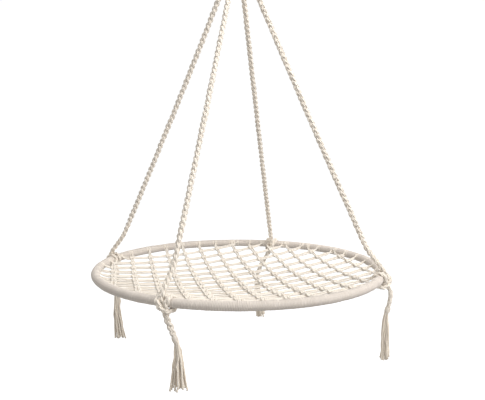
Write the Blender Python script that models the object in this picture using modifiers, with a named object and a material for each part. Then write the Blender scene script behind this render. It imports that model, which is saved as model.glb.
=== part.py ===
"""Saucer nest swing: a cord-wrapped hoop with a knotted net, hung by four plaited ropes.

Metres, +Z up.  The origin is the hang point, on the inside of the steel ring at its top,
where the hook bears.  +X is to the sitter's right and -Y is the front.
"""
import math

import bpy
from mathutils import Matrix, Vector

# ---- driving dimensions -------------------------------------------------------------
HOOP_R = 0.390            # centreline radius of the hoop
TUBE_R = 0.008            # steel tube, outside
TUBE_WALL = 0.0015
SPIGOT_CLEARANCE = 0.0012 # round the spigot that joins the tube's ends
SEAM_DEG = 204.0          # where the tube's ends meet
SEAM_HALF_GAP_DEG = 0.06
WRAP_OUTER_R = 0.0117     # over the cotton cord wound round the tube
HITCH_LENGTH = 0.046      # along the hoop, each rope hitch
HITCH_OUTER_R = 0.0172
HITCH_CLEARANCE = 0.0009  # hitch over the wrap, whose facets are coarser
HITCH_REACH_DEG = 6.5     # net cords this close to a hitch's middle stop short of it
HOOP_STEP_DEG = 6.0       # facets round the hoop
SIDES = 8                 # facets round the tube and its wrap

APEX_HEIGHT = 0.859       # the four ropes' lines meet this far above the hoop
ROPE_R = 0.0075
ROPE_SAG = 0.004          # how far the middle of a rope hangs inward of a straight line
ROPE_END_DROP = 0.0035    # a rope's cut top starts this far down, clear of the whipping
ROPE_AZIMUTH_DEG = {"a": 161.8, "b": 245.1, "c": 73.5, "d": 340.6}
WRAP_END_DEG = {"c": 72.0, "a": 162.0, "b": 246.0, "d": 342.0}   # under the hitches

RING_R = 0.0245           # steel hanging ring, centreline
RING_WIRE_R = 0.0035
LOOP_R = 0.0038           # bundle of cords folded over the ring
LOOP_ANGLES_DEG = (-42.0, -14.0, 14.0, 42.0)    # places round the bottom of the ring
LEG_FIRST_DEG = 157.5     # where the first loop's back leg comes down round the crown's axis
LEG_STEP_DEG = 45.0       # and each next one's
LEG_CIRCLE_R = 0.0111
LEG_END_RISE = 0.0130     # the legs end this far above the crown's centre
NECK_DROP = 0.022         # ring wire to the centre of the crown's rounded top
CROWN_R = 0.014           # the gathered strands inside the crown whipping
CROWN_SHOULDER = 0.008    # rounded top stands this far out of the whipping
CROWN_WHIP_LENGTH = 0.029
WHIP_CORD = 0.0036        # thickness of one layer of binding cord

NET_SAG = 0.039           # middle of the net below the hoop
NET_CORD_R = 0.0035
NET_END_GAP = 0.0012      # between a net cord's end and the hoop's wrap
COLUMN_LINES = (-6, 6)    # first and last, counted from the one near the middle
COLUMN_AZIMUTH_DEG = 102.2
COLUMN_PITCH = 0.0574
COLUMN_SHIFT = 0.0016
COLUMN_FAN_DEG = 4.8      # hand-tied lines aren't parallel: their turn per metre across
ROW_LINES = (-6, 7)
ROW_AZIMUTH_DEG = 27.0
ROW_PITCH = 0.0495
ROW_SHIFT = -0.0193
ROW_FAN_DEG = -23.3

TAIL_R = 0.0062
TASSEL_WHIP_LENGTH = 0.010
TASSEL_WHIP_GAP = 0.0008  # round the tail, whose bends are faceted
TASSEL_WHIP_CORD = 0.0016
GAP = 0.0003              # between pieces that touch

# Each tassel hangs in the upright plane along the hoop at its hitch.  Points are
# (out from the hoop's centreline, along the hoop anticlockwise from above, up), in metres,
# from the hitch's centre: the plaited tail first, then the loose fringe.
TAIL_POINTS = {
    "a": [(-0.0085, 0.0, -0.0235), (-0.0100, -0.002, -0.045), (-0.0095, -0.003, -0.066),
          (-0.0085, -0.003, -0.088)],
    "b": [(0.0090, 0.004, -0.0240), (0.0100, 0.011, -0.043), (0.0090, 0.021, -0.064),
          (0.0090, 0.030, -0.086)],
    "c": [(-0.0090, 0.006, -0.0240), (-0.0090, 0.019, -0.046), (-0.0090, 0.034, -0.071),
          (-0.0090, 0.043, -0.097)],
    "d": [(0.0205, 0.0, -0.0190), (0.0275, 0.0, -0.034), (0.0265, 0.0, -0.056),
          (0.0200, 0.0, -0.085)],
}
FRINGE_POINTS = {
    "a": [(-0.0070, -0.003, -0.170), (-0.0160, -0.004, -0.243)],
    "b": [(0.0090, 0.036, -0.145), (0.0090, 0.037, -0.199)],
    "c": [(-0.0090, 0.045, -0.165), (-0.0090, 0.034, -0.245)],
    "d": [(0.0165, 0.0, -0.150), (0.0170, 0.0, -0.213)],
}
FRINGE_END_R = {"a": 0.014, "b": 0.0205, "c": 0.016, "d": 0.014}
FRINGE_TOP_R = 0.0066

# ---- derived places -----------------------------------------------------------------
RING_CENTRE = Vector((0.0, 0.0, -(RING_R - RING_WIRE_R)))
RING_BOTTOM_Z = RING_CENTRE.z - RING_R
CROWN_CENTRE = Vector((0.0, 0.0, RING_BOTTOM_Z - NECK_DROP))
WHIP_TOP_Z = CROWN_CENTRE.z - CROWN_SHOULDER
WHIP_BOTTOM_Z = WHIP_TOP_Z - CROWN_WHIP_LENGTH
ROPE_TOP_R = (ROPE_R + GAP) * math.sqrt(2.0)    # four ropes side by side
ROPE_TOP_Z = WHIP_BOTTOM_Z - GAP
HOOP_Z = ROPE_TOP_Z + ROPE_TOP_R * APEX_HEIGHT / HOOP_R - APEX_HEIGHT
HOOP_CENTRE = Vector((0.0, 0.0, HOOP_Z))


# ---- scene, materials and helpers ---------------------------------------------------
def clear_scene():
    for old in list(bpy.data.objects):
        bpy.data.objects.remove(old, do_unlink=True)


def make_material(name, colour, roughness, metallic):
    material = bpy.data.materials.new(name)
    material.use_nodes = True
    shader = material.node_tree.nodes["Principled BSDF"]
    shader.inputs["Base Color"].default_value = (*colour, 1.0)
    shader.inputs["Roughness"].default_value = roughness
    shader.inputs["Metallic"].default_value = metallic
    material.diffuse_color = (*colour, 1.0)
    return material


def joint_empty(name, place, parent=None):
    """An empty on a joint's axis; the pieces that move with the joint are its children."""
    empty = bpy.data.objects.new(name, None)
    empty.empty_display_size = 0.03
    parts.objects.link(empty)
    empty.location = place
    if parent is not None:
        empty.parent = parent
        empty.matrix_parent_inverse = Matrix.Translation(-joint_place[parent.name])
    joint_place[name] = Vector(place)
    return empty


def hang_on(obj, empty):
    """Parent a piece modelled in the part's frame to a joint's empty without moving it."""
    obj.parent = empty
    obj.matrix_parent_inverse = Matrix.Translation(-joint_place[empty.name])


def add_object(name, data, material, empty):
    obj = bpy.data.objects.new(name, data)
    data.materials.append(material)
    parts.objects.link(obj)
    hang_on(obj, empty)
    return obj


def tube_along(name, points, radius, material, empty, radii=None):
    """A round tube with filled caps along points; radii scale each point's radius."""
    curve = bpy.data.curves.new(name, "CURVE")
    curve.dimensions = "3D"
    curve.bevel_depth = radius
    curve.bevel_resolution = 2
    curve.use_fill_caps = True
    spline = curve.splines.new("POLY")
    spline.points.add(len(points) - 1)
    for index, point in enumerate(points):
        spline.points[index].co = (*point, 1.0)
        spline.points[index].radius = radii[index] / radius if radii else 1.0
    spline.use_smooth = True
    return add_object(name, curve, material, empty)


def shade_round(mesh):
    mesh.shade_smooth()
    mesh.set_sharp_from_angle(angle=math.radians(50.0))


def hoop_shell(name, start_deg, end_deg, inner, outer, step_deg, material, empty):
    """A length of tube round the hoop's centreline, open at both ends."""
    start = math.radians(start_deg)
    out = Vector((math.cos(start), math.sin(start), 0.0))
    ring = []
    for side in range(SIDES):
        turn = 2.0 * math.pi * (side + 0.5) / SIDES
        ring.append(out * (HOOP_R + inner * math.cos(turn)) + Vector((0, 0, inner * math.sin(turn))))
    mesh = bpy.data.meshes.new(name)
    mesh.from_pydata(ring, [(side, (side + 1) % SIDES) for side in range(SIDES)], [])
    obj = add_object(name, mesh, material, empty)
    obj.location = HOOP_CENTRE
    screw = obj.modifiers.new("sweep", "SCREW")
    screw.angle = math.radians(end_deg - start_deg)
    screw.steps = screw.render_steps = max(2, round((end_deg - start_deg) / step_deg))
    screw.merge_threshold = 0.0001
    wall = obj.modifiers.new("wall", "SOLIDIFY")
    wall.thickness = outer - inner
    wall.offset = -1.0
    wall.use_even_offset = True
    return obj


def sleeve(name, centre, direction, inner, outer, length, sides, material, empty):
    """A straight open-ended sleeve: binding cord round a bundle of strands."""
    bpy.ops.mesh.primitive_cylinder_add(
        vertices=sides, radius=inner, depth=length, end_fill_type="NOTHING")
    obj = bpy.context.object
    obj.name = obj.data.name = name
    for collection in list(obj.users_collection):
        collection.objects.unlink(obj)
    parts.objects.link(obj)
    obj.data.materials.append(material)
    obj.location = centre
    obj.rotation_euler = Vector(direction).to_track_quat("Z", "Y").to_euler()
    wall = obj.modifiers.new("wall", "SOLIDIFY")
    wall.thickness = outer - inner
    wall.offset = 1.0
    wall.use_even_offset = True
    shade_round(obj.data)
    hang_on(obj, empty)
    return obj


def smooth_path(points, spacing):
    """Points along a Catmull-Rom curve through the given ones, about spacing apart."""
    knots = [Vector(p) for p in points]
    knots = [2 * knots[0] - knots[1], *knots, 2 * knots[-1] - knots[-2]]
    path = [knots[1]]
    for p0, p1, p2, p3 in zip(knots, knots[1:], knots[2:], knots[3:]):
        count = max(1, round((p2 - p1).length / spacing))
        for index in range(1, count + 1):
            t = index / count
            path.append(0.5 * (2 * p1 + (p2 - p0) * t + (2 * p0 - 5 * p1 + 4 * p2 - p3) * t * t
                               + (3 * p1 - p0 - 3 * p2 + p3) * t ** 3))
    return path


def hoop_directions(letter):
    """Outward and anticlockwise unit vectors at one rope's hitch."""
    azimuth = math.radians(ROPE_AZIMUTH_DEG[letter])
    out = Vector((math.cos(azimuth), math.sin(azimuth), 0.0))
    along = Vector((-math.sin(azimuth), math.cos(azimuth), 0.0))
    return out, along


def hitch_point(letter, local):
    out, along = hoop_directions(letter)
    return HOOP_CENTRE + out * (HOOP_R + local[0]) + along * local[1] + Vector((0, 0, local[2]))


# ---- the pieces ---------------------------------------------------------------------
def build_hanging_ring(empty):
    bpy.ops.mesh.primitive_torus_add(
        major_radius=RING_R, minor_radius=RING_WIRE_R, major_segments=32, minor_segments=SIDES,
        location=RING_CENTRE, rotation=(math.pi / 2.0, 0.0, 0.0))
    ring = bpy.context.object
    ring.name = ring.data.name = "hanging_ring"
    for collection in list(ring.users_collection):
        collection.objects.unlink(ring)
    parts.objects.link(ring)
    ring.data.materials.append(steel)
    ring.data.shade_smooth()
    hang_on(ring, empty)


def build_rope_loops(empty):
    """Four bundles of cords folded over the bottom of the ring, legs gathered at the crown."""
    bend = RING_WIRE_R + GAP + LOOP_R
    for place, (letter, angle_deg) in enumerate(zip("abcd", LOOP_ANGLES_DEG)):
        angle = math.radians(angle_deg)
        down = Vector((math.sin(angle), 0.0, -math.cos(angle)))
        wire = RING_CENTRE + down * RING_R
        turn = [wire + Vector((0, 1, 0)) * bend * math.cos(a) - down * bend * math.sin(a)
                for a in (math.pi * i / 8.0 for i in range(9))]
        leg_azimuth = math.radians(LEG_FIRST_DEG - LEG_STEP_DEG * place)
        foot = Vector((LEG_CIRCLE_R * math.cos(leg_azimuth),
                       LEG_CIRCLE_R * math.sin(leg_azimuth), CROWN_CENTRE.z + LEG_END_RISE))
        back_leg = turn[0].lerp(foot, 0.5)
        front_foot = foot * 1.0
        front_foot.y = -foot.y
        front_leg = turn[-1].lerp(front_foot, 0.5)
        tube_along(f"rope_loop_{letter}", [foot, back_leg, *turn, front_leg, front_foot],
                   LOOP_R, cotton, empty)


def build_crown(empty):
    """The gathered strands, with a rounded top, and the binding round them."""
    height = CROWN_CENTRE.z - WHIP_BOTTOM_Z
    profile = [Vector((CROWN_R, 0.0, -height)), Vector((CROWN_R, 0.0, 0.0))]
    for index in range(1, 6):
        angle = math.pi / 2.0 * index / 6.0
        profile.append(Vector((CROWN_R * math.cos(angle), 0.0, CROWN_R * math.sin(angle))))
    profile.append(Vector((0.0, 0.0, CROWN_R)))
    profile.insert(0, Vector((0.0, 0.0, -height)))
    profile.reverse()
    mesh = bpy.data.meshes.new("crown_core")
    mesh.from_pydata(profile, [(i, i + 1) for i in range(len(profile) - 1)], [])
    core = add_object("crown_core", mesh, cotton, empty)
    core.location = CROWN_CENTRE
    turned = core.modifiers.new("turn", "SCREW")
    turned.steps = turned.render_steps = 20
    turned.use_merge_vertices = True
    turned.merge_threshold = 0.00005
    middle = Vector((0.0, 0.0, (WHIP_TOP_Z + WHIP_BOTTOM_Z) / 2.0))
    sleeve("crown_whipping", middle, (0, 0, 1), CROWN_R + GAP, CROWN_R + GAP + WHIP_CORD,
           CROWN_WHIP_LENGTH, 20, cotton, empty)


def rope_points(letter):
    """Centreline of a rope from the crown to its hitch, hanging slightly slack of straight."""
    out, _ = hoop_directions(letter)
    top = out * ROPE_TOP_R + Vector((0, 0, ROPE_TOP_Z))
    hoop = HOOP_CENTRE + out * HOOP_R
    run = (hoop - top).normalized()
    bottom = hoop - run * (HITCH_OUTER_R + 2.0 * GAP)
    inward = (out.cross(run)).cross(run).normalized()
    if inward.dot(out) > 0.0:
        inward.negate()
    count = 24
    return [top.lerp(bottom, i / count) + inward * ROPE_SAG * 4.0 * (i / count) * (1 - i / count)
            for i in range(count + 1)]


def build_ropes(empty):
    for letter in ROPE_AZIMUTH_DEG:
        points = rope_points(letter)
        points[0] = points[0] - Vector((0, 0, ROPE_END_DROP))
        tube_along(f"rope_{letter}", points, ROPE_R, cotton, empty)


def build_hoop(empty):
    hoop_shell("hoop_tube", SEAM_DEG + SEAM_HALF_GAP_DEG, SEAM_DEG + 360.0 - SEAM_HALF_GAP_DEG,
               TUBE_R - TUBE_WALL, TUBE_R, HOOP_STEP_DEG, steel, empty)
    spigot_r = TUBE_R - TUBE_WALL - SPIGOT_CLEARANCE
    spigot = []
    for index in range(5):
        angle = math.radians(SEAM_DEG + (index - 2) * 1.5)
        spigot.append(HOOP_CENTRE + Vector((math.cos(angle), math.sin(angle), 0.0)) * HOOP_R)
    tube_along("hoop_joint_spigot", spigot, spigot_r, steel, empty)
    ends = sorted(WRAP_END_DEG.values())
    gap_deg = math.degrees(GAP / HOOP_R)
    for number, (start, end) in enumerate(zip(ends, ends[1:] + [ends[0] + 360.0]), 1):
        hoop_shell(f"hoop_wrap_{number}", start + gap_deg, end - gap_deg,
                   TUBE_R + GAP, WRAP_OUTER_R, HOOP_STEP_DEG, cotton, empty)
    half_deg = math.degrees(HITCH_LENGTH / 2.0 / HOOP_R)
    for letter, azimuth in ROPE_AZIMUTH_DEG.items():
        hoop_shell(f"hitch_{letter}", azimuth - half_deg, azimuth + half_deg,
                   WRAP_OUTER_R + HITCH_CLEARANCE, HITCH_OUTER_R, HOOP_STEP_DEG / 2.0, cotton, empty)


def inside_limit(point, offset):
    """Radius where a net cord's end stops, short of the wrapped hoop or of a hitch."""
    azimuth = math.degrees(math.atan2(point.y, point.x)) % 360.0
    limit = HOOP_R - WRAP_OUTER_R - NET_END_GAP
    for hitch in ROPE_AZIMUTH_DEG.values():
        if abs((azimuth - hitch + 180.0) % 360.0 - 180.0) < HITCH_REACH_DEG:
            limit = HOOP_R - HITCH_OUTER_R - NET_END_GAP
    return limit - NET_CORD_R * abs(offset) / HOOP_R


def net_line(azimuth_deg, offset, lift):
    """One cord of the net: a chord of the hoop that follows the saucer's sag."""
    azimuth = math.radians(azimuth_deg)
    along = Vector((math.cos(azimuth), math.sin(azimuth), 0.0))
    across = Vector((math.sin(azimuth), -math.cos(azimuth), 0.0))
    ends = []
    for sense in (-1.0, 1.0):
        half = math.sqrt(HOOP_R ** 2 - offset ** 2)
        limit = inside_limit(across * offset + along * sense * half, offset)
        ends.append(sense * math.sqrt(limit ** 2 - offset ** 2))
    count = max(4, round((ends[1] - ends[0]) / 0.07))
    points = []
    for index in range(count + 1):
        place = across * offset + along * (ends[0] + (ends[1] - ends[0]) * index / count)
        sag = NET_SAG * (1.0 - place.length_squared / HOOP_R ** 2)
        points.append(HOOP_CENTRE + place + Vector((0, 0, lift - sag)))
    return points


def build_net(empty):
    lift = NET_CORD_R + GAP
    for number, line in enumerate(range(COLUMN_LINES[0], COLUMN_LINES[1] + 1), 1):
        offset = line * COLUMN_PITCH + COLUMN_SHIFT
        column = net_line(COLUMN_AZIMUTH_DEG + COLUMN_FAN_DEG * offset, offset, lift)
        tube_along(f"net_column_{number:02d}", column, NET_CORD_R, cotton, empty)
    for number, line in enumerate(range(ROW_LINES[0], ROW_LINES[1] + 1), 1):
        offset = line * ROW_PITCH + ROW_SHIFT
        row = net_line(ROW_AZIMUTH_DEG + ROW_FAN_DEG * offset, offset, -lift)
        tube_along(f"net_row_{number:02d}", row, NET_CORD_R, cotton, empty)


def build_tassel(letter, empty):
    """Plaited tail with a round root on its pivot, binding, and the loose strands below."""
    tail = smooth_path([hitch_point(letter, p) for p in TAIL_POINTS[letter]], 0.012)
    start = (tail[1] - tail[0]).normalized()
    root = [tail[0] - start * TAIL_R * s for s in (1.0, 0.85, 0.5)]
    root_radii = [TAIL_R * r for r in (0.08, 0.52, 0.86)]
    tube_along(f"tail_{letter}", root + tail, TAIL_R, cotton, empty,
               root_radii + [TAIL_R] * len(tail))
    end_run = (tail[-1] - tail[-2]).normalized()
    sleeve(f"tail_whipping_{letter}", tail[-1] - end_run * TASSEL_WHIP_LENGTH / 2.0, end_run,
           TAIL_R + TASSEL_WHIP_GAP, TAIL_R + TASSEL_WHIP_GAP + TASSEL_WHIP_CORD,
           TASSEL_WHIP_LENGTH, 12, cotton, empty)
    fringe_top = [tail[-1] + end_run * 2.0 * GAP, tail[-1] + end_run * TASSEL_WHIP_LENGTH]
    fringe = smooth_path(fringe_top + [hitch_point(letter, p) for p in FRINGE_POINTS[letter]],
                         0.018)
    last = len(fringe) - 1
    radii = [FRINGE_TOP_R + (FRINGE_END_R[letter] - FRINGE_TOP_R) * (i / last) ** 1.3
             for i in range(last + 1)]
    tube_along(f"fringe_{letter}", fringe, FRINGE_TOP_R, cotton, empty, radii)


clear_scene()
parts = bpy.data.collections.new("saucer_nest_swing")
bpy.context.scene.collection.children.link(parts)
joint_place = {}
cotton = make_material("natural_cotton_cord", (0.78, 0.72, 0.63), 0.9, 0.0)
steel = make_material("galvanised_steel", (0.62, 0.63, 0.64), 0.4, 1.0)

hang_point = joint_empty("hang_point", (0.0, 0.0, 0.0))
side_axis = joint_empty("side_swing_axis", RING_CENTRE, hang_point)
fore_aft_axis = joint_empty("fore_aft_swing_axis", CROWN_CENTRE, side_axis)
spin_axis = joint_empty("spin_axis", (0.0, 0.0, WHIP_BOTTOM_Z), fore_aft_axis)
build_hanging_ring(hang_point)
build_rope_loops(side_axis)
build_crown(fore_aft_axis)
build_ropes(spin_axis)
build_hoop(spin_axis)
build_net(spin_axis)
for tassel in ROPE_AZIMUTH_DEG:
    pivot = hitch_point(tassel, TAIL_POINTS[tassel][0])
    build_tassel(tassel, joint_empty(f"tassel_{tassel}_axis", pivot, spin_axis))
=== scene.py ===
"""Looks of the saucer nest swing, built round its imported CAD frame.  Metres, +Z up."""
import math

import bpy
import numpy as np
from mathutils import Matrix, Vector


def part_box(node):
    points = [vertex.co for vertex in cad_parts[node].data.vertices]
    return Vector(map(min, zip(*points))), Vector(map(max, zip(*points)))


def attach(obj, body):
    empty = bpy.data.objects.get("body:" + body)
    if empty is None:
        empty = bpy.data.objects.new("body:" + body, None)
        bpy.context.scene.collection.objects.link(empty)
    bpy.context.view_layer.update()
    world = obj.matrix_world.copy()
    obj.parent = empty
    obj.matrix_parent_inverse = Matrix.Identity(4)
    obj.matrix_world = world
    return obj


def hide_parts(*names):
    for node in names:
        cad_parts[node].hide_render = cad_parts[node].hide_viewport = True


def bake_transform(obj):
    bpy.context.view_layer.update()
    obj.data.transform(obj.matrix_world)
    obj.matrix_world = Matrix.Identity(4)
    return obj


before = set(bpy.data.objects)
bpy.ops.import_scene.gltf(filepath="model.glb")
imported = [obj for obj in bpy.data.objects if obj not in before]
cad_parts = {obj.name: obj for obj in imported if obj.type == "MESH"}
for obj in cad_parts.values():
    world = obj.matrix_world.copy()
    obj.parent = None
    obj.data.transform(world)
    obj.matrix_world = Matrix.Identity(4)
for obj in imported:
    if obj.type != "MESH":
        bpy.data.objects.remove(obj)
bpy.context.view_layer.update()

# ---- sizes of the CAD design, as its script has them ----------------------------------
HOOP_R = 0.390
WRAP_OUTER_R = 0.0117
ROPE_R = 0.0075
ROPE_SAG = 0.004
ROPE_AZIMUTH_DEG = {"a": 161.8, "b": 245.1, "c": 73.5, "d": 340.6}
RING_R = 0.0245
RING_WIRE_R = 0.0035
LOOP_R = 0.0038
LOOP_ANGLES_DEG = (-42.0, -14.0, 14.0, 42.0)
NECK_DROP = 0.022
CROWN_R = 0.014
CROWN_SHOULDER = 0.008
CROWN_WHIP_LENGTH = 0.029
NET_SAG = 0.039
COLUMN_LINES = (-6, 6)
COLUMN_AZIMUTH_DEG = 102.2
COLUMN_PITCH = 0.0574
COLUMN_SHIFT = 0.0016
COLUMN_FAN_DEG = 4.8
ROW_LINES = (-6, 7)
ROW_AZIMUTH_DEG = 27.0
ROW_PITCH = 0.0495
ROW_SHIFT = -0.0193
ROW_FAN_DEG = -23.3
GAP = 0.0003
TAIL_POINTS = {
    "a": [(-0.0085, 0.0, -0.0235), (-0.0100, -0.002, -0.045), (-0.0095, -0.003, -0.066),
          (-0.0085, -0.003, -0.088)],
    "b": [(0.0090, 0.004, -0.0240), (0.0100, 0.011, -0.043), (0.0090, 0.021, -0.064),
          (0.0090, 0.030, -0.086)],
    "c": [(-0.0090, 0.006, -0.0240), (-0.0090, 0.019, -0.046), (-0.0090, 0.034, -0.071),
          (-0.0090, 0.043, -0.097)],
    "d": [(0.0205, 0.0, -0.0190), (0.0275, 0.0, -0.034), (0.0265, 0.0, -0.056),
          (0.0200, 0.0, -0.085)],
}
FRINGE_POINTS = {
    "a": [(-0.0070, -0.003, -0.170), (-0.0160, -0.004, -0.243)],
    "b": [(0.0090, 0.036, -0.145), (0.0090, 0.037, -0.199)],
    "c": [(-0.0090, 0.045, -0.165), (-0.0090, 0.034, -0.245)],
    "d": [(0.0165, 0.0, -0.150), (0.0170, 0.0, -0.213)],
}

RING_CENTRE = np.array((0.0, 0.0, -(RING_R - RING_WIRE_R)))
CROWN_Z = RING_CENTRE[2] - RING_R - NECK_DROP
WHIP_TOP_Z = CROWN_Z - CROWN_SHOULDER
WHIP_BOTTOM_Z = WHIP_TOP_Z - CROWN_WHIP_LENGTH
ROPE_TOP_R = (ROPE_R + GAP) * math.sqrt(2.0)
ROPE_TOP_Z = WHIP_BOTTOM_Z - GAP
HOOP_Z = (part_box("hoop_tube")[0][2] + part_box("hoop_tube")[1][2]) / 2.0
HOOP_CENTRE = np.array((0.0, 0.0, HOOP_Z))
UP = np.array((0.0, 0.0, 1.0))

# ---- sizes of the cord work -----------------------------------------------------------
PLAIT_PERIOD = 0.045        # one strand's way across and back
PLAIT_HALF_WIDTH = 0.0036   # of a strand's centreline, to each side
PLAIT_HALF_DEPTH = 0.0028
STRAND_CORDS = 4            # cords side by side in each of the three strands
CORD_OFFSET = 0.00225       # of a cord from the middle of its strand
ROPE_CORD_R = 0.00200
PATH_STEP = 0.0025
CORD_SIDES = 6
HITCH_SIDE = {"a": 1.0, "b": 1.0, "c": -1.0, "d": 1.0}   # which side of the hoop it ties on
NET_CORD_R = 0.0024
WRAP_PITCH = 0.0035

rng = np.random.default_rng(7)


# ---- camera ---------------------------------------------------------------------------
LENS_MM = 49.52
SENSOR_MM = 36.0
CAMERA_FRONT, CAMERA_ABOVE = 4.6826, 1.0367     # hoop radii from the hoop's centre
AIM_RIGHT, AIM_ABOVE = 0.028, 0.489


def add_camera():
    """A viewpoint a little above the hoop, from the front."""
    camera_data = bpy.data.cameras.new("camera")
    camera_data.lens = LENS_MM
    camera_data.sensor_width = SENSOR_MM
    camera = bpy.data.objects.new("camera", camera_data)
    bpy.context.scene.collection.objects.link(camera)
    place = Vector((0.0, -CAMERA_FRONT * HOOP_R, HOOP_Z + CAMERA_ABOVE * HOOP_R))
    target = Vector((AIM_RIGHT * HOOP_R, 0.0, HOOP_Z + AIM_ABOVE * HOOP_R))
    camera.location = place
    camera.rotation_euler = (target - place).to_track_quat("-Z", "Y").to_euler()
    bpy.context.scene.camera = camera


# ---- paths ----------------------------------------------------------------------------
def unit(v):
    v = np.asarray(v, float)
    return v / np.maximum(np.linalg.norm(v, axis=-1, keepdims=True), 1e-12)


def smooth_keys(keys, spacing):
    """A Catmull-Rom curve through the keys, and where each key fell on it.

    Its points are about spacing apart.  Values after a key's x, y and z are eased too.
    """
    knots = [np.array(key, float) for key in keys]
    knots = [2 * knots[0] - knots[1], *knots, 2 * knots[-1] - knots[-2]]
    path, marks = [knots[1]], [0]
    for p0, p1, p2, p3 in zip(knots, knots[1:], knots[2:], knots[3:]):
        count = max(1, round(np.linalg.norm((p2 - p1)[:3]) / spacing))
        for index in range(1, count + 1):
            t = index / count
            path.append(0.5 * (2 * p1 + (p2 - p0) * t + (2 * p0 - 5 * p1 + 4 * p2 - p3) * t * t
                               + (3 * p1 - p0 - 3 * p2 + p3) * t ** 3))
        marks.append(len(path) - 1)
    return np.array(path), marks


def smooth_path(points, spacing):
    """Points along a smooth curve through the given ones, about spacing apart."""
    return smooth_keys(points, spacing)[0]


def run_along(path):
    """The distance along a path to each of its points."""
    return np.r_[0.0, np.cumsum(np.linalg.norm(np.diff(path, axis=0), axis=1))]


def smoothed(values, passes):
    """Evens out kinks, keeping both ends."""
    values = values.copy()
    for _ in range(passes):
        values[1:-1] = 0.25 * values[:-2] + 0.5 * values[1:-1] + 0.25 * values[2:]
    return values


def frames(path, normals=None):
    """Tangent, normal and side vectors along a path; parallel transport without normals."""
    tangents = unit(np.gradient(path, axis=0))
    if normals is None:
        normals = np.empty_like(path)
        seed = UP if abs(tangents[0][2]) < 0.9 else np.array((1.0, 0.0, 0.0))
        normals[0] = unit(seed - tangents[0] * (seed @ tangents[0]))
        for i in range(1, len(path)):
            n = normals[i - 1] - tangents[i] * (normals[i - 1] @ tangents[i])
            normals[i] = n / math.sqrt(n @ n)
    else:
        normals = unit(normals - tangents * np.sum(normals * tangents, axis=1, keepdims=True))
    return tangents, normals, np.cross(tangents, normals)


def wander(count, size, period, dims=3):
    """A smooth random path about zero, for the unevenness of hand work."""
    knots = max(3, int(count / period) + 3)
    raw = rng.normal(0.0, size, (knots, dims))
    at = np.linspace(0, knots - 1, count)
    return np.stack([np.interp(at, np.arange(knots), raw[:, k]) for k in range(dims)], axis=1)


# ---- making meshes of cords -----------------------------------------------------------
class CordMesh:
    """Collects swept round cords and makes one mesh of them."""

    def __init__(self):
        self.points, self.quads, self.caps, self.uv, self.tones = [], [], [], [], []
        self.count = 0

    def cord(self, path, radius, sides=CORD_SIDES, tone=None, flat=1.0):
        """A round cord with closed ends; flat below 1 squeezes it along its normals."""
        path = np.asarray(path, float)
        n = len(path)
        radius = np.broadcast_to(np.asarray(radius, float), (n,))
        _, normal, side = frames(path)
        turn = 2.0 * math.pi * np.arange(sides) / sides
        ring = (normal[:, None, :] * np.cos(turn)[None, :, None] * flat
                + side[:, None, :] * np.sin(turn)[None, :, None])
        self.points.append((path[:, None, :] + ring * radius[:, None, None]).reshape(-1, 3))
        run = run_along(path)
        i, j = np.meshgrid(np.arange(n - 1), np.arange(sides), indexing="ij")
        k = (j + 1) % sides
        quad = np.stack([i * sides + j, i * sides + k, (i + 1) * sides + k, (i + 1) * sides + j],
                        axis=-1).reshape(-1, 4) + self.count
        u = np.stack([j, j + 1, j + 1, j], axis=-1).reshape(-1, 4) / sides
        v = np.stack([run[i], run[i], run[i + 1], run[i + 1]], axis=-1).reshape(-1, 4) * 100.0
        self.quads.append(quad)
        self.uv.append(np.stack([u, v], axis=-1).reshape(-1, 2))
        base = self.count
        self.caps.append(list(range(base + sides - 1, base - 1, -1)))
        last = base + (n - 1) * sides
        self.caps.append(list(range(last, last + sides)))
        tone = rng.uniform(0.0, 1.0) if tone is None else tone
        self.tones.append(np.full(n * sides, tone))
        self.count += n * sides

    def make(self, name, material, slot, body=None, nodes=()):
        points = np.concatenate(self.points)
        quads = np.concatenate(self.quads)
        loops = np.concatenate([quads.ravel(), np.concatenate(self.caps).astype(int)])
        sizes = np.r_[np.full(len(quads), 4), [len(c) for c in self.caps]]
        mesh = bpy.data.meshes.new(name)
        mesh.vertices.add(len(points))
        mesh.vertices.foreach_set("co", points.astype(np.float32).ravel())
        mesh.loops.add(len(loops))
        mesh.loops.foreach_set("vertex_index", loops.astype(np.int32))
        mesh.polygons.add(len(sizes))
        mesh.polygons.foreach_set("loop_start", np.r_[0, np.cumsum(sizes)[:-1]].astype(np.int32))
        mesh.polygons.foreach_set("loop_total", sizes.astype(np.int32))
        mesh.update(calc_edges=True)
        uv = np.concatenate(self.uv + [np.zeros((sum(len(c) for c in self.caps), 2))])
        mesh.uv_layers.new(name="cord").data.foreach_set("uv", uv.astype(np.float32).ravel())
        tone = mesh.attributes.new("tone", "FLOAT", "POINT")
        tone.data.foreach_set("value", np.concatenate(self.tones).astype(np.float32))
        mesh.shade_smooth()
        mesh.materials.append(material)
        obj = bpy.data.objects.new(name, mesh)
        bpy.context.scene.collection.objects.link(obj)
        if nodes:
            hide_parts(*nodes)
        if body:
            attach(obj, body)
        return obj


# ---- materials ------------------------------------------------------------------------
def node(tree, kind, **inputs):
    """A shader node; each keyword sets the input socket of that name."""
    made = tree.nodes.new(kind)
    for name, value in inputs.items():
        made.inputs[name.replace("_", " ")].default_value = value
    return made


def maths(tree, operation, a, b=None):
    made = tree.nodes.new("ShaderNodeMath")
    made.operation = operation
    for socket, value in zip(made.inputs, (a, b)):
        if value is None:
            continue
        if isinstance(value, (int, float)):
            socket.default_value = value
        else:
            tree.links.new(value, socket)
    return made.outputs[0]


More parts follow.
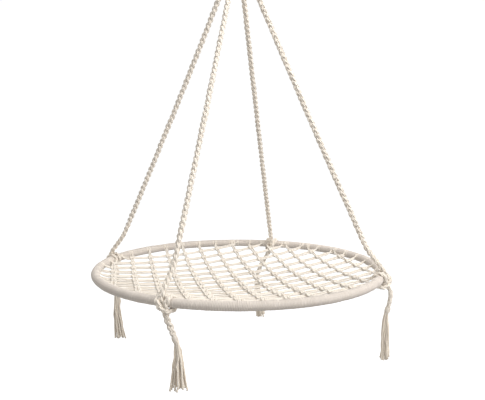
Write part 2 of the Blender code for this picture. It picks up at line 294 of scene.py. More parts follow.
def cotton_material(name, light, dark, lay_cm, plies, bump_mm, sheen):
    """Natural cotton cord: plies twisted along it, dull hairs, uneven cream colour, with painted
    shade in the grooves between plies.
    """
    material = bpy.data.materials.new(name)
    material.use_nodes = True
    tree = material.node_tree
    link = tree.links.new
    shader = tree.nodes["Principled BSDF"]
    shader.inputs["Sheen Weight"].default_value = sheen
    shader.inputs["Sheen Roughness"].default_value = 0.5
    shader.inputs["Specular IOR Level"].default_value = 0.2
    shader.inputs["Roughness"].default_value = 0.92

    uv = tree.nodes.new("ShaderNodeUVMap")
    uv.uv_map = "cord"
    parts = tree.nodes.new("ShaderNodeSeparateXYZ")
    link(uv.outputs[0], parts.inputs[0])
    around, along = parts.outputs[0], parts.outputs[1]
    turn = maths(tree, "ADD", maths(tree, "MULTIPLY", around, math.pi * plies),
                 maths(tree, "MULTIPLY", along, math.pi / lay_cm))
    ply = maths(tree, "ABSOLUTE", maths(tree, "SINE", turn))
    groove = maths(tree, "POWER", ply, 0.6)

    place = tree.nodes.new("ShaderNodeTexCoord").outputs["Object"]
    fibre = node(tree, "ShaderNodeTexNoise", Scale=900.0, Detail=3.0, Roughness=0.7)
    link(place, fibre.inputs["Vector"])
    stain = node(tree, "ShaderNodeTexNoise", Scale=22.0, Detail=4.0, Roughness=0.6)
    link(place, stain.inputs["Vector"])
    tone = tree.nodes.new("ShaderNodeAttribute")
    tone.attribute_name = "tone"

    mixed = maths(tree, "ADD", maths(tree, "MULTIPLY", tone.outputs["Fac"], 0.45),
                  maths(tree, "MULTIPLY", stain.outputs["Fac"], 0.55))
    body = node(tree, "ShaderNodeMix", Factor=0.5)
    body.data_type = "RGBA"
    link(mixed, body.inputs["Factor"])
    body.inputs["A"].default_value = (*dark, 1.0)
    body.inputs["B"].default_value = (*light, 1.0)
    # painted shade: the colour is darkened down the grooves between the plies, and the fibre
    # noise flecks it darker too
    shade = maths(tree, "ADD", maths(tree, "MULTIPLY", groove, 0.18),
                  maths(tree, "MULTIPLY", fibre.outputs["Fac"], 0.14))
    shade = maths(tree, "ADD", shade, 0.78)
    tint = tree.nodes.new("ShaderNodeVectorMath")
    tint.operation = "SCALE"
    link(body.outputs["Result"], tint.inputs[0])
    link(shade, tint.inputs["Scale"])
    link(tint.outputs[0], shader.inputs["Base Color"])

    height = maths(tree, "ADD", maths(tree, "MULTIPLY", groove, 0.75),
                   maths(tree, "MULTIPLY", fibre.outputs["Fac"], 0.5))
    bump = node(tree, "ShaderNodeBump", Strength=0.8, Distance=bump_mm / 1000.0)
    link(height, bump.inputs["Height"])
    link(bump.outputs[0], shader.inputs["Normal"])
    return material


def steel_material(name, colour, roughness, scratch_scale):
    """Plated steel with fine scratches and duller patches."""
    material = bpy.data.materials.new(name)
    material.use_nodes = True
    tree = material.node_tree
    link = tree.links.new
    shader = tree.nodes["Principled BSDF"]
    shader.inputs["Metallic"].default_value = 1.0
    place = tree.nodes.new("ShaderNodeTexCoord").outputs["Object"]
    patch = node(tree, "ShaderNodeTexNoise", Scale=120.0, Detail=5.0, Roughness=0.6)
    link(place, patch.inputs["Vector"])
    scratch = node(tree, "ShaderNodeTexNoise", Scale=scratch_scale, Detail=6.0, Roughness=0.8)
    link(place, scratch.inputs["Vector"])
    body = tree.nodes.new("ShaderNodeMix")
    body.data_type = "RGBA"
    link(patch.outputs["Fac"], body.inputs["Factor"])
    body.inputs["A"].default_value = (*(0.82 * c for c in colour), 1.0)
    body.inputs["B"].default_value = (*colour, 1.0)
    link(body.outputs["Result"], shader.inputs["Base Color"])
    rough = maths(tree, "ADD", maths(tree, "MULTIPLY", patch.outputs["Fac"], 0.25), roughness)
    link(rough, shader.inputs["Roughness"])
    bump = node(tree, "ShaderNodeBump", Strength=0.25, Distance=0.0002)
    link(scratch.outputs["Fac"], bump.inputs["Height"])
    link(bump.outputs[0], shader.inputs["Normal"])
    return material


# ---- ropes, hitches and tails ---------------------------------------------------------
def outward(letter, along=0.0):
    """Outward and anticlockwise unit vectors on the hoop, along metres from a hitch."""
    azimuth = math.radians(ROPE_AZIMUTH_DEG[letter]) + along / HOOP_R
    return (np.array((math.cos(azimuth), math.sin(azimuth), 0.0)),
            np.array((-math.sin(azimuth), math.cos(azimuth), 0.0)))


def hitch_point(letter, local):
    out, along = outward(letter)
    return HOOP_CENTRE + out * (HOOP_R + local[0]) + along * local[1] + UP * local[2]


def round_hoop(out, angle_deg, radius):
    """A point at an angle round the hoop's tube (0 outermost, 90 top), and its direction."""
    angle = math.radians(angle_deg)
    radial = out * math.cos(angle) + UP * math.sin(angle)
    return HOOP_CENTRE + out * HOOP_R + radial * radius, radial


# A clove hitch: angle round the tube (deg), radius from the tube's centre (mm) and place
# along the hoop (mm).  The middle stretch crosses over the standing part, and the end
# comes out under it.  HITCH_SLACK draws the radii in towards HITCH_LAY_MM.
HITCH_TURNS = [
    (-45, 16.0, 7.0), (-90, 15.6, 9.0), (-135, 15.2, 9.0), (-180, 15.0, 9.5),
    (-225, 15.0, 11.0), (-270, 15.2, 13.0), (-310, 15.8, 14.0), (-335, 18.5, 13.0),
    (-357, 25.0, 9.0), (-380, 27.5, 3.0), (-403, 27.0, -5.0), (-425, 24.0, -11.5),
    (-448, 18.5, -15.5), (-480, 15.8, -16.5), (-540, 15.0, -12.0), (-585, 15.0, -11.5),
    (-630, 15.2, -12.0), (-675, 15.6, -11.0), (-715, 16.0, -8.5), (-750, 16.6, -6.0),
    (-775, 17.5, -4.5),
]
HITCH_LAY_MM = 15.0         # radius of a turn that lies on the winding
STANDING_R = 0.0170         # the standing part passes the tube's centre this far off
STANDING_ALONG = 0.0045
APPROACH = (0.095, 0.075, 0.055, 0.036, 0.020, 0.007)   # from the hoop's centre, up the rope
HITCH_SENSE = {"a": -1.0, "b": -1.0, "c": -1.0, "d": 1.0}
ROPE_FACE_DEG = {"a": -62.0, "b": 32.0, "c": 8.0, "d": 85.0}    # twist of a rope's middle
HITCH_SCALE = {"a": 0.66, "b": 0.98, "c": 0.82, "d": 0.90}
HITCH_SLACK = {"a": 0.30, "b": 0.62, "c": 0.60, "d": 0.85}
TAIL_SCALE = {"a": 0.92, "b": 1.05, "c": 1.02, "d": 0.92}
TAIL_END_SCALE = 0.80       # drawn in by the binding
TAIL_OVERRUN = 0.010        # of the plait past the CAD tail, inside the fringe's top
PLAIT_PHASE = {"a": 0.0, "b": 1.1, "c": 2.3, "d": 3.2}
GATHERED = ((0.016, 0.0050), (0.006, 0.0075))    # height above the crown's end, and radius
ROPE_STOP = 0.0172 + 2.0 * GAP      # from the hoop's centreline to the CAD rope's end
ROPE_KEYS = 24
APPROACH_CLEAR = 0.012      # between the last key of the straight rope and the approach


def rope_route(letter):
    """The whole cord from crown to tassel: points, facing directions, and where it is cut."""
    out, along = outward(letter)
    side = HITCH_SIDE[letter]
    sense = HITCH_SENSE[letter]
    top = out * ROPE_TOP_R + UP * ROPE_TOP_Z
    hoop = HOOP_CENTRE + out * HOOP_R
    run = unit(hoop - top)
    bottom = hoop - run * ROPE_STOP
    inward = np.cross(np.cross(out, run), run)
    inward = unit(inward) * -np.sign(inward @ out)
    points, faces = [], []
    # inside the whipping the strands are drawn together
    for height, radius in GATHERED:
        points.append(out * radius + UP * (WHIP_BOTTOM_Z + height))
        faces.append(out * side)
    for index in range(ROPE_KEYS + 1):
        t = index / ROPE_KEYS
        point = top + (bottom - top) * t + inward * ROPE_SAG * 4.0 * t * (1.0 - t)
        if np.linalg.norm(point - hoop) > APPROACH[0] + APPROACH_CLEAR:
            points.append(point)
            faces.append(out * side)
    perp = -inward * side
    for distance in APPROACH:
        w = 1.0 - distance / APPROACH[0]
        w = w * w * (3.0 - 2.0 * w)
        t = 1.0 - (distance - ROPE_STOP) / np.linalg.norm(bottom - top)
        bow = inward * ROPE_SAG * 4.0 * max(0.0, t * (1.0 - t))
        points.append(hoop - run * distance + bow
                      + w * (perp * STANDING_R + along * sense * STANDING_ALONG))
        faces.append(out * side)
    rope_keys = len(points)
    for angle, radius, place in HITCH_TURNS:
        radius = HITCH_LAY_MM + (radius - HITCH_LAY_MM) * HITCH_SLACK[letter]
        here, _ = outward(letter, sense * place / 1000.0)
        turned = angle if side > 0.0 else 180.0 - angle
        point, radial = round_hoop(here, turned, radius / 1000.0)
        points.append(point)
        faces.append(radial)
    hitch_keys = len(points)
    tail = [hitch_point(letter, p) for p in TAIL_POINTS[letter]]
    tail.append(tail[-1] + unit(tail[-1] - tail[-2]) * TAIL_OVERRUN)
    points += tail
    faces += [out * side] * len(tail)
    return np.array(points), np.array(faces), rope_keys, hitch_keys


def plait_cords(path, faces, scale, phase):
    """Centrelines of the twelve cords of a three-strand plait along a path."""
    _, normal, side = frames(path, faces)
    run = run_along(path)
    angle = 2.0 * math.pi * run / PLAIT_PERIOD + phase
    scale = scale[:, None]
    cords = []
    for strand in range(3):
        turn = (angle + 2.0 * math.pi * strand / 3.0)[:, None]
        centre = path + scale * (side * PLAIT_HALF_WIDTH * np.sin(turn)
                                 + normal * PLAIT_HALF_DEPTH * np.sin(2.0 * turn))
        centre = centre + wander(len(path), 0.00025, 7)
        _, strand_normal, strand_side = frames(centre, normal)
        for index in range(STRAND_CORDS):
            place = (2.0 * math.pi * (index + 0.5) / STRAND_CORDS + run / PLAIT_PERIOD
                     + strand * 0.7)[:, None]
            cords.append(centre + scale * CORD_OFFSET * (strand_normal * np.cos(place)
                                                         + strand_side * np.sin(place))
                         + wander(len(path), 0.00012, 5))
    return cords


def build_rope(letter, materials):
    """One rope: plait, hitch and tail are stretches of the same cords."""
    keys, faces, rope_keys, hitch_keys = rope_route(letter)
    both, marks = smooth_keys(np.hstack([keys, faces]), PATH_STEP)
    path, faces = smoothed(both[:, :3], 2), both[:, 3:]
    rope_end, hitch_end = marks[rope_keys - 1], marks[hitch_keys - 1]
    fraction = np.clip(np.arange(len(path)) / rope_end, 0.0, 1.0)
    face_in = np.clip(fraction / 0.15, 0.0, 1.0)
    face_out = np.clip((0.96 - fraction) / 0.12, 0.0, 1.0)
    turn = math.radians(ROPE_FACE_DEG[letter]) * face_in * face_out
    turn = turn + np.radians(wander(len(path), 11.0, 45, 1)[:, 0]) * face_in * face_out
    turn = smoothed(turn, 20)[:, None]
    _, normal, side = frames(path, smoothed(faces, 4))
    faces = normal * np.cos(turn) + side * np.sin(turn)
    scale = np.ones(len(path))
    scale[rope_end:] = HITCH_SCALE[letter]
    scale[hitch_end:] = TAIL_SCALE[letter]
    scale[-10:] = TAIL_END_SCALE
    scale[:6] = 0.6
    scale = smoothed(scale, 60)
    cords = plait_cords(path, faces, scale, PLAIT_PHASE[letter])
    tones = rng.uniform(0.2, 0.9, len(cords))
    stretches = (("plait", 0, rope_end), ("hitch", rope_end, hitch_end),
                 ("tail", hitch_end, len(path) - 1))
    made = {}
    for name, first, last in stretches:
        mesh = CordMesh()
        for cord, tone in zip(cords, tones):
            mesh.cord(cord[first:last + 1], ROPE_CORD_R * scale[first:last + 1], tone=tone)
        made[name] = mesh
    plait = made["plait"].make(f"plait_{letter}", materials["rope"], "plaited_rope",
                               nodes=[f"rope_{letter}"])
    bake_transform(plait)
    made["hitch"].make(f"hitch_{letter}_turns", materials["rope"], "plaited_rope", "seat",
                       [f"hitch_{letter}"])
    tail = made["tail"].make(f"tail_{letter}_plait", materials["rope"], "plaited_rope",
                             nodes=[f"tail_{letter}"])
    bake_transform(tail)
    whipping = build_tail_whipping(letter, path, faces, materials)
    fringe = build_fringe(letter, materials)


def helix(start, axis, radius, turns, pitch, points_per_turn=16, flare=0.0):
    """A coil of cord wound round a line, turn by turn."""
    axis = unit(axis)
    _, normal, side = frames(np.array([start, start + axis * 0.01]))
    count = int(turns * points_per_turn)
    angle = 2.0 * math.pi * np.arange(count + 1) / points_per_turn
    drop = pitch * np.arange(count + 1) / points_per_turn
    spread = radius * (1.0 + flare * np.sin(np.pi * np.arange(count + 1) / count))
    return (np.asarray(start)[None, :] + axis[None, :] * drop[:, None]
            + (normal[0][None, :] * np.cos(angle)[:, None]
               + side[0][None, :] * np.sin(angle)[:, None]) * spread[:, None])


TASSEL_WHIP_R = 0.0014
TASSEL_WHIP_TURNS = {"a": 4.3, "b": 5.2, "c": 4.3, "d": 4.3}
TASSEL_WHIP_COIL_R = 0.0061
TASSEL_WHIP_FLARE = 0.06    # its middle turns stand this much further out
TASSEL_WHIP_DOWN = 0.003    # of its last turn below the CAD tail's end


def build_tail_whipping(letter, path, faces, materials):
    """Binding cord wound round the end of a tail."""
    end = path[-1]
    axis = unit(path[-1] - path[-6])
    turns = TASSEL_WHIP_TURNS[letter]
    pitch = 2.0 * TASSEL_WHIP_R * 0.98
    start = end - axis * (TAIL_OVERRUN + turns * pitch + TASSEL_WHIP_R - TASSEL_WHIP_DOWN)
    mesh = CordMesh()
    coil = helix(start, axis, TASSEL_WHIP_COIL_R, turns, pitch, flare=TASSEL_WHIP_FLARE)
    mesh.cord(coil + wander(len(coil), 0.00015, 4), TASSEL_WHIP_R)
    return mesh.make(f"whipping_{letter}", materials["whipping"], "whipping_cord",
                     f"tassel_{letter}", [f"tail_whipping_{letter}"])


FRINGE_STRANDS = 19
FRINGE_PLIES = 3
FRINGE_SPREAD = {"a": 0.0095, "b": 0.0165, "c": 0.0115, "d": 0.0066}
FRINGE_TOP_R, FRINGE_BULGE = 0.0036, 0.0018
GOLDEN_ANGLE = 2.39996      # spaces the strands evenly over the tassel's section
FRINGE_LAY = 0.010
FRAY = 0.010                # length over which a strand's plies come apart
FRINGE_OVERRUN = {"a": 0.0, "b": 0.0, "c": 0.006, "d": 0.005}   # past the CAD fringe's end
PLY_R = 0.00130
PLY_OFFSET = 0.0011
HAIR_RADII = np.array([0.0006, 0.00045, 0.0002])


def fringe_line(letter):
    tail = smooth_path([hitch_point(letter, p) for p in TAIL_POINTS[letter]], 0.012)
    run = unit(tail[-1] - tail[-2])
    keys = [tail[-1] - run * 0.006, tail[-1] + run * 0.010]
    keys += [hitch_point(letter, p) for p in FRINGE_POINTS[letter]]
    keys[-1] = keys[-1] + unit(keys[-1] - keys[-2]) * FRINGE_OVERRUN[letter]
    return smooth_path(keys, 0.0022)


def build_fringe(letter, materials):
    """Loose strands below the binding, each of twisted plies that fray at the end."""
    line = fringe_line(letter)
    tangent, normal, side = frames(line, np.tile(outward(letter)[0], (len(line), 1)))
    mesh = CordMesh()
    total = len(line)
    for strand in range(FRINGE_STRANDS):
        spread = math.sqrt((strand + 0.5) / FRINGE_STRANDS)
        direction = strand * GOLDEN_ANGLE + rng.uniform(-0.3, 0.3)
        last = total - 1 - int(rng.uniform(1.0, 5.0))
        t = (np.arange(last + 1) / (total - 1))[:, None]
        bulge = np.clip(t / 0.22, 0.0, 1.0) ** 2
        radius = spread * (FRINGE_TOP_R + FRINGE_BULGE * bulge + FRINGE_SPREAD[letter] * t ** 1.2)
        wave = wander(last + 1, 0.0011, 9) * np.minimum(1.0, 4.0 * t)
        centre = (line[:last + 1] + wave + radius * (normal[:last + 1] * math.cos(direction)
                                                     + side[:last + 1] * math.sin(direction)))
        _, strand_normal, strand_side = frames(centre, normal[:last + 1])
        run = run_along(centre)
        left = (run[-1] - run)[:, None]
        loose = np.clip(1.0 - left / FRAY, 0.0, 1.0) ** 2
        tone = rng.uniform(0.1, 0.8)
        for ply in range(FRINGE_PLIES):
            turn = (2.0 * math.pi * (run / FRINGE_LAY + ply / FRINGE_PLIES))[:, None]
            offset = PLY_OFFSET + PLY_OFFSET * loose * rng.uniform(0.5, 1.5)
            ply_line = centre + offset * (strand_normal * np.cos(turn)
                                          + strand_side * np.sin(turn))
            thin = PLY_R * (1.0 - 0.25 * loose[:, 0])
            mesh.cord(ply_line, thin, sides=5, tone=tone + rng.uniform(-0.1, 0.1))
            for _ in range(3):
                end = ply_line[-3:].mean(axis=0)
                way = unit(tangent[last] + rng.normal(0.0, 0.45, 3))
                hair = np.array([end - way * 0.002, end + way * 0.0015, end + way * 0.004
                                 + rng.normal(0.0, 0.0006, 3)])
                mesh.cord(hair, HAIR_RADII, sides=4, tone=tone)
    return mesh.make(f"fringe_{letter}_strands", materials["fringe"], "fringe_strand",
                     f"tassel_{letter}", [f"fringe_{letter}"])


# ---- hoop -----------------------------------------------------------------------------
WRAP_END_DEG = (72.0, 162.0, 246.0, 342.0)
RIB_SAMPLES = 7
TUBE_SIDES = 18


def build_wrap(number, start_deg, end_deg, materials):
    """A quarter of the hoop's winding: a ridge for each turn of cord, side by side."""
    turns = round(math.radians(end_deg - start_deg) * HOOP_R / WRAP_PITCH)
    edges = np.cumsum(np.r_[0.0, rng.normal(1.0, 0.07, turns).clip(0.75, 1.25)])
    edges *= turns / edges[-1]
    proud = rng.normal(0.0, 0.00016, turns)
    tones = rng.uniform(0.0, 1.0, turns) * 0.6 + 0.2
    columns = turns * RIB_SAMPLES
    x = np.arange(columns + 1) / RIB_SAMPLES
    rib = np.minimum(x.astype(int), turns - 1)
    inside = x - rib
    place = edges[rib] + (edges[rib + 1] - edges[rib]) * inside
    half = 0.5 * WRAP_PITCH
    bulge = np.sqrt(np.maximum(0.0, 1.0 - (np.abs(inside - 0.5) * 1.96) ** 2)) * half
    radius = WRAP_OUTER_R - half + bulge + proud[rib]
    slant = 0.5 + wander(columns + 1, 0.35, 120, 1)[:, 0]
    around = 2.0 * math.pi * np.arange(TUBE_SIDES) / TUBE_SIDES
    step = math.radians(end_deg - start_deg) / turns
    wave = wander(columns + 1, 0.00018, 60, 1)
    azimuth = (math.radians(start_deg) + step * place[:, None]
               + step * slant[:, None] * np.sin(around)[None, :])
    reach = radius[:, None] + wave
    level = HOOP_R + reach * np.cos(around)[None, :]
    points = np.stack([level * np.cos(azimuth), level * np.sin(azimuth),
                       HOOP_Z + reach * np.sin(around)[None, :]], axis=-1)
    n, m = columns + 1, TUBE_SIDES
    i, j = np.meshgrid(np.arange(columns), np.arange(m), indexing="ij")
    k = (j + 1) % m
    quads = np.stack([i * m + j, (i + 1) * m + j, (i + 1) * m + k, i * m + k], axis=-1)
    u0 = (i % RIB_SAMPLES) / RIB_SAMPLES
    u = np.stack([u0, u0 + 1.0 / RIB_SAMPLES, u0 + 1.0 / RIB_SAMPLES, u0], axis=-1)
    girth = 2.0 * math.pi * WRAP_OUTER_R * 100.0 / m
    v = np.stack([j, j, j + 1, j + 1], axis=-1) * girth
    mesh = CordMesh()
    mesh.points.append(points.reshape(-1, 3))
    mesh.quads.append(quads.reshape(-1, 4))
    mesh.uv.append(np.stack([u * 0.5, v], axis=-1).reshape(-1, 2))
    mesh.caps = [list(range(m)), list(range((n - 1) * m + m - 1, (n - 1) * m - 1, -1))]
    mesh.tones.append(np.repeat(tones[rib], m))
    mesh.count = n * m
    return mesh.make(f"winding_{number}", materials["wrap"], "wrap_cord", "seat",
                     [f"hoop_wrap_{number}"])


# ---- net ------------------------------------------------------------------------------
ROW_TILT = 0.0014           # one cord of a row lies higher than the other
KNOT_ALONG = 0.0064         # of a column cord from the row's middle, as it goes round it
KNOT_HEIGHT = 0.0050
TURN_SPACING = 0.0041       # of turns of cord side by side
KNOT_CLEAR = 0.028          # crossings nearer to the hoop's centreline aren't knotted
RIM_CORD_R = 0.0016         # pulled thin and flat where it goes round the hoop
RIM_SINK = 0.0008           # they bed into the winding on the hoop's outer side
RIM_R = 0.0105              # of a cord's centre round the hoop's tube
RIM_KEYS = 14               # of a cord's way round the hoop, RIM_STEP_DEG apart
RIM_STEP_DEG = 38.0
RIM_REACH = 0.012           # the open net starts this far inside the hoop's centreline
FIRST_KEY = 0.012           # its first key is this much further in
THIN_FROM, THIN_RUN = 0.012, 0.010      # where a cord comes to its full thickness
NET_STEP = 0.0042           # between a net cord's points
ROW_KEY_STEP = 0.018
KNOT_LEAD = 0.0115          # keys before and after a knot
KNOT_STEPS = 19             # keys round a knot, KNOT_STEP_DEG apart
KNOT_STEP_DEG = 30.0


def net_direction(azimuth_deg):
    azimuth = math.radians(azimuth_deg)
    return (np.array((math.cos(azimuth), math.sin(azimuth), 0.0)),
            np.array((math.sin(azimuth), -math.cos(azimuth), 0.0)))


def net_lines(lines, pitch, shift, azimuth_deg, fan_deg):
    """Offset from the hoop's centre, direction and sideways direction of each line."""
    offsets = [line * pitch + shift for line in range(lines[0], lines[1] + 1)]
    return [(offset, *net_direction(azimuth_deg + fan_deg * offset)) for offset in offsets]


def net_surface(place):
    """A plan position raised to the saucer's sagging surface."""
    sag = NET_SAG * (1.0 - (place @ place) / HOOP_R ** 2)
    return HOOP_CENTRE + np.array((place[0], place[1], -sag))


def rim_turns(place, direction, cord_side, over):
    """Keys of a cord end that arrives at the hoop, goes round it and is tucked under."""
    azimuth = math.atan2(place[1], place[0])
    keys = []
    way = 1.0 if over else -1.0
    for step in range(RIM_KEYS):
        angle = 180.0 - way * (12.0 + RIM_STEP_DEG * step)
        along = cord_side * TURN_SPACING * (0.5 + min(1.0, step / 9.0))
        turn = azimuth + along / HOOP_R
        out = np.array((math.cos(turn), math.sin(turn), 0.0))
        radius = (RIM_R - RIM_SINK * math.cos(math.radians(angle))
                  + (0.0010 if step < 2 else 0.0) - (0.0014 if step > 11 else 0.0))
        keys.append(round_hoop(out, angle, radius)[0])
    return keys


def line_ends(across, along, offset):
    half = math.sqrt((HOOP_R - RIM_REACH) ** 2 - offset ** 2)
    return across * offset - along * half, across * offset + along * half


def build_net(materials):
    """Pairs of cords both ways; the columns are knotted round the rows where they cross."""
    columns = net_lines(COLUMN_LINES, COLUMN_PITCH, COLUMN_SHIFT, COLUMN_AZIMUTH_DEG,
                        COLUMN_FAN_DEG)
    rows = net_lines(ROW_LINES, ROW_PITCH, ROW_SHIFT, ROW_AZIMUTH_DEG, ROW_FAN_DEG)
    for number, (offset, along, across) in enumerate(columns, 1):
        crossings = []
        for row, row_along, row_across in rows:
            # across * offset + along * x lies on the row's line
            x = (row - (across @ row_across) * offset) / (along @ row_across)
            place = across * offset + along * x
            if np.linalg.norm(place) < HOOP_R - KNOT_CLEAR:
                crossings.append((x, place, row_along))
        crossings.sort(key=lambda c: c[0])
        build_line(f"net_column_{number:02d}", along, across, offset,
                   [crossing[1:] for crossing in crossings], materials)
    for number, (offset, along, across) in enumerate(rows, 1):
        build_line(f"net_row_{number:02d}", along, across, offset, [], materials)


def build_line(node_name, along, across, offset, crossings, materials):
    """One line of the net: two cords side by side, from rim to rim."""
    mesh = CordMesh()
    first, last = line_ends(across, along, offset)
    for cord_side in (-1.0, 1.0):
        keys = list(reversed(rim_turns(first, -along, cord_side, rng.uniform() < 0.75)))
        if crossings:
            keys += column_keys(along, crossings, cord_side, first + along * FIRST_KEY,
                                last - along * FIRST_KEY)
        else:
            keys += row_keys(along, across, first, last, cord_side)
        keys += rim_turns(last, along, cord_side, rng.uniform() < 0.75)
        path = smooth_path(keys, NET_STEP)
        path = smoothed(path, 1) + wander(len(path), 0.00018, 4)
        off_rim = np.hypot(np.hypot(path[:, 0], path[:, 1]) - HOOP_R, path[:, 2] - HOOP_Z)
        slack = np.clip((off_rim - THIN_FROM) / THIN_RUN, 0.0, 1.0)
        mesh.cord(path, RIM_CORD_R + (NET_CORD_R - RIM_CORD_R) * slack,
                  tone=rng.uniform(0.3, 1.0))
    mesh.make(node_name + "_cords", materials["net"], "net_cord", "seat", [node_name])


def row_keys(along, across, first, last, cord_side):
    keys = []
    span = np.linalg.norm(last - first)
    count = max(2, round(span / ROW_KEY_STEP))
    for index in range(1, count):
        place = first + along * span * index / count
        gap = cord_side * TURN_SPACING * (0.55 + 0.12 * rng.uniform())
        drop = rng.normal(0.0, 0.0005) - cord_side * ROW_TILT
        keys.append(net_surface(place) + across * gap + UP * drop)
    return keys


def column_keys(along, crossings, cord_side, first, last):
    keys = [net_surface(first) + crossings[0][1] * cord_side * TURN_SPACING * 0.6]
    for place, row_along in crossings:
        centre = net_surface(place)
        before = net_surface(place - along * 0.01)
        way = unit(centre - before)
        size = rng.uniform(0.92, 1.1)
        lean = rng.normal(0.0, 0.0006)
        keys.append(centre - way * KNOT_LEAD
                    + row_along * (cord_side * TURN_SPACING * 0.95 + lean))
        for step in range(KNOT_STEPS):
            turn = math.radians(KNOT_STEP_DEG * step)
            wound = min(1.0, max(0.0, (step - 4) / 8.0))
            place_r = cord_side * TURN_SPACING * (1.5 - wound) + lean
            keys.append(centre - way * KNOT_ALONG * size * math.cos(turn)
                        + UP * KNOT_HEIGHT * size * math.sin(turn) + row_along * place_r)
        keys.append(centre + way * KNOT_LEAD
                    + row_along * (cord_side * TURN_SPACING * 0.60 + lean))
    keys.append(net_surface(last) + row_along * cord_side * TURN_SPACING * 0.6)
    return keys


# ---- crown and ring -------------------------------------------------------------------
CROWN_CORD_R = 0.0016
BINDING_CORD_R = 0.00186
BINDING_TURNS = 7.3
LOOP_CORDS = 7              # six of them round the seventh
LOOP_CORD_R = 0.00132
LOOP_CORD_OFFSET = 0.0025
LEG_R = 0.0111              # of the folded cords' legs from the crown's axis


def build_ring(materials):
    bpy.ops.mesh.primitive_torus_add(
        major_radius=RING_R, minor_radius=RING_WIRE_R, major_segments=96, minor_segments=24,
        location=RING_CENTRE, rotation=(math.pi / 2.0, 0.0, 0.0))
    ring = bpy.context.object
    ring.name = ring.data.name = "steel_ring"
    ring.data.materials.append(materials["steel"])
    ring.data.shade_smooth()
    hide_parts("hanging_ring")
    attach(ring, "ring")


def build_loops(materials):
    """Bundles of seven cords folded over the ring; their legs run down into the crown."""
    bend = RING_WIRE_R + GAP + LOOP_R
    for place, (letter, angle_deg) in enumerate(zip("abcd", LOOP_ANGLES_DEG)):
        angle = math.radians(angle_deg)
        down = np.array((math.sin(angle), 0.0, -math.cos(angle)))
        wire = RING_CENTRE + down * RING_R
        fore = np.array((0.0, 1.0, 0.0))
        turn = [wire + fore * bend * math.cos(a) - down * bend * math.sin(a)
                for a in (math.pi * i / 8.0 for i in range(9))]
        leg = math.radians(157.5 - 45.0 * place)
        foot = np.array((LEG_R * math.cos(leg), LEG_R * math.sin(leg), CROWN_Z + 0.013))
        front = foot * (1.0, -1.0, 1.0)
        sink = np.array((0.93, 0.93, 1.0))
        keys = [foot * sink - UP * 0.020, foot - UP * 0.006, 0.5 * (turn[0] + foot), *turn,
                0.5 * (turn[-1] + front), front - UP * 0.006, front * sink - UP * 0.020]
        path = smooth_path(keys, 0.0018)
        _, normal, side = frames(path)
        mesh = CordMesh()
        for index in range(LOOP_CORDS):
            radius = 0.0 if index == LOOP_CORDS - 1 else LOOP_CORD_OFFSET
            spin = 2.0 * math.pi * index / 6.0 + np.arange(len(path))[:, None] * 0.03
            mesh.cord(path + radius * (normal * np.cos(spin) + side * np.sin(spin))
                      + wander(len(path), 0.0001, 5), LOOP_CORD_R)
        loop = mesh.make(f"folded_cords_{letter}", materials["rope"], "plaited_rope",
                         nodes=[f"rope_loop_{letter}"])
        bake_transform(loop)


def build_crown(materials):
    """The gathered cords, rounded over at the top, and the binding wound round them."""
    mesh = CordMesh()
    outer = CROWN_R - CROWN_CORD_R
    for ring_radius, count in ((outer, 24), (outer - 0.0030, 18), (outer - 0.0060, 12),
                               (outer - 0.0088, 6)):
        for index in range(count):
            angle = 2.0 * math.pi * (index + rng.uniform(-0.1, 0.1)) / count
            way = np.array((math.cos(angle), math.sin(angle), 0.0))
            top = CROWN_Z + math.sqrt(max(0.0, (CROWN_R * 0.98) ** 2 - ring_radius ** 2)) * 0.75
            keys = [way * ring_radius + UP * (WHIP_BOTTOM_Z - 0.0035),
                    way * ring_radius + UP * (WHIP_TOP_Z - 0.004),
                    way * ring_radius + UP * (0.5 * (WHIP_TOP_Z + CROWN_Z) + 0.003),
                    way * ring_radius * 0.90 + UP * (top + 0.001)]
            path = smooth_path(keys, 0.002)
            mesh.cord(path + wander(len(path), 0.00015, 4), CROWN_CORD_R)
    mesh.make("crown_cords", materials["rope"], "plaited_rope", "crown", ["crown_core"])
    pitch = CROWN_WHIP_LENGTH / 8.0
    coil = helix(np.array((0.0, 0.0, WHIP_TOP_Z - 0.0018)), -UP, CROWN_R + 0.0016,
                 BINDING_TURNS, pitch, points_per_turn=32)
    binding = CordMesh()
    binding.cord(coil + wander(len(coil), 0.00012, 6), BINDING_CORD_R, sides=8)
    binding.make("crown_binding", materials["whipping"], "whipping_cord", "crown",
                 ["crown_whipping"])


# ---- studio ---------------------------------------------------------------------------
FLOOR_Z = -2.2
FLOOR_R = 9.0
LIGHT_AIM = (0.0, 0.0, -0.8)


def area_light(name, place, target, size, energy):
    data = bpy.data.lights.new(name, "AREA")
    data.shape = "DISK"
    data.size = size
    data.energy = energy
    light = bpy.data.objects.new(name, data)
    light.location = place
    light.rotation_euler = (Vector(target) - Vector(place)).to_track_quat("-Z", "Y").to_euler()
    bpy.context.scene.collection.objects.link(light)


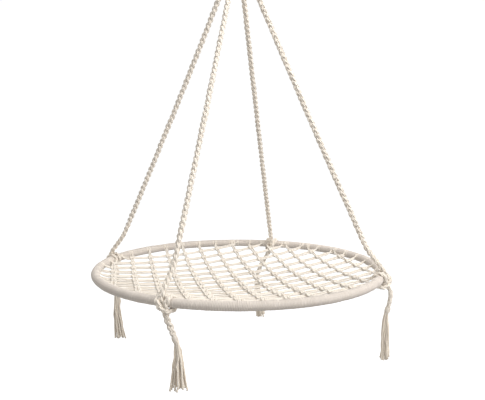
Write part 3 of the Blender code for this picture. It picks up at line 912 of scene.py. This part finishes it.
def build_studio():
    """White room: bright near eye level, dimmer overhead, and a pale floor whose far side glows
    with painted light.
    """
    world = bpy.data.worlds.new("studio")
    bpy.context.scene.world = world
    world.use_nodes = True
    tree = world.node_tree
    background = tree.nodes["Background"]
    split = tree.nodes.new("ShaderNodeSeparateXYZ")
    tree.links.new(tree.nodes.new("ShaderNodeTexCoord").outputs["Generated"], split.inputs[0])
    ramp = tree.nodes.new("ShaderNodeMapRange")
    ramp.inputs["From Min"].default_value = 0.20
    ramp.inputs["From Max"].default_value = 0.45
    ramp.inputs["To Min"].default_value = 1.02
    ramp.inputs["To Max"].default_value = 0.52
    tree.links.new(split.outputs[2], ramp.inputs["Value"])
    front = tree.nodes.new("ShaderNodeMapRange")
    front.interpolation_type = "SMOOTHSTEP"
    front.inputs["From Min"].default_value = -0.4
    front.inputs["From Max"].default_value = 0.5
    front.inputs["To Min"].default_value = 0.66
    tree.links.new(split.outputs[1], front.inputs["Value"])
    level = maths(tree, "MULTIPLY", ramp.outputs[0], front.outputs[0])
    tree.links.new(level, background.inputs["Strength"])
    background.inputs["Color"].default_value = (1.0, 1.0, 1.0, 1.0)
    area_light("key", (1.0, -1.0, 1.9), LIGHT_AIM, 2.2, 62.0)
    area_light("fill", (2.2, -1.6, 0.6), LIGHT_AIM, 1.8, 38.0)
    bpy.ops.mesh.primitive_circle_add(vertices=96, radius=FLOOR_R, fill_type="NGON",
                                      location=(0.0, 0.0, FLOOR_Z))
    floor = bpy.context.object
    floor.name = "floor"
    material = bpy.data.materials.new("floor")
    material.use_nodes = True
    shader = material.node_tree.nodes["Principled BSDF"]
    shader.inputs["Base Color"].default_value = (0.62, 0.62, 0.62, 1.0)
    shader.inputs["Roughness"].default_value = 0.9
    shader.inputs["Emission Color"].default_value = (1.0, 1.0, 1.0, 1.0)
    tree = material.node_tree
    place = tree.nodes.new("ShaderNodeTexCoord").outputs["Object"]
    far = tree.nodes.new("ShaderNodeSeparateXYZ")
    tree.links.new(place, far.inputs[0])
    # painted light: the floor glows more with distance behind the swing, rising from y 0.5 m to
    # full at y 1.9 m, so it reads white there
    floor_painted_light = tree.nodes.new("ShaderNodeMapRange")
    floor_painted_light.interpolation_type = "SMOOTHSTEP"
    floor_painted_light.inputs["From Min"].default_value = 0.5
    floor_painted_light.inputs["From Max"].default_value = 1.9
    floor_painted_light.inputs["To Max"].default_value = 0.85
    tree.links.new(far.outputs["Y"], floor_painted_light.inputs["Value"])
    tree.links.new(floor_painted_light.outputs[0], shader.inputs["Emission Strength"])
    floor.data.materials.append(material)
    bpy.context.scene.view_settings.view_transform = "Standard"
    bpy.context.scene.view_settings.look = "None"


# ---- everything -----------------------------------------------------------------------
CREAM = (0.93, 0.865, 0.775)
CREAM_DARK = (0.80, 0.72, 0.625)
WOUND_PAINTED_SHADE = (0.755, 0.688, 0.622)      # pulled tight it is smoother; painted darker than the ropes' cotton, as painted shade on the winding
WOUND_PAINTED_SHADE_DARK = (0.65, 0.58, 0.515)
MATERIALS = {
    "rope": cotton_material("plaited_cotton", CREAM, CREAM_DARK, 0.5, 3, 0.5, 0.25),
    "net": cotton_material("net_cotton", CREAM, CREAM_DARK, 0.55, 3, 0.6, 0.25),
    # the winding's cotton carries painted shade: the same cream as the ropes, made darker
    "wrap": cotton_material("wound_cotton_painted_shade", WOUND_PAINTED_SHADE, WOUND_PAINTED_SHADE_DARK, 0.55, 3, 0.5, 0.25),
    "whipping": cotton_material("binding_cotton", CREAM, CREAM_DARK, 0.5, 3, 0.5, 0.25),
    "fringe": cotton_material("loose_cotton", CREAM, (0.78, 0.68, 0.55), 0.3, 2, 0.3, 0.35),
    "steel": steel_material("plated_steel", (0.66, 0.67, 0.68), 0.18, 1500.0),
    "tube": steel_material("drawn_steel", (0.55, 0.56, 0.57), 0.35, 700.0),
}

add_camera()
for rope in ROPE_AZIMUTH_DEG:
    build_rope(rope, MATERIALS)
for quarter, (begin, finish) in enumerate(
        zip(WRAP_END_DEG, WRAP_END_DEG[1:] + (WRAP_END_DEG[0] + 360.0,)), 1):
    build_wrap(quarter, begin, finish, MATERIALS)
build_net(MATERIALS)
build_ring(MATERIALS)
build_loops(MATERIALS)
build_crown(MATERIALS)
for tube_node in ("hoop_tube", "hoop_joint_spigot"):
    tube_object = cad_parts[tube_node]
    for slot in tube_object.material_slots:
        slot.material = MATERIALS["tube"]
build_studio()
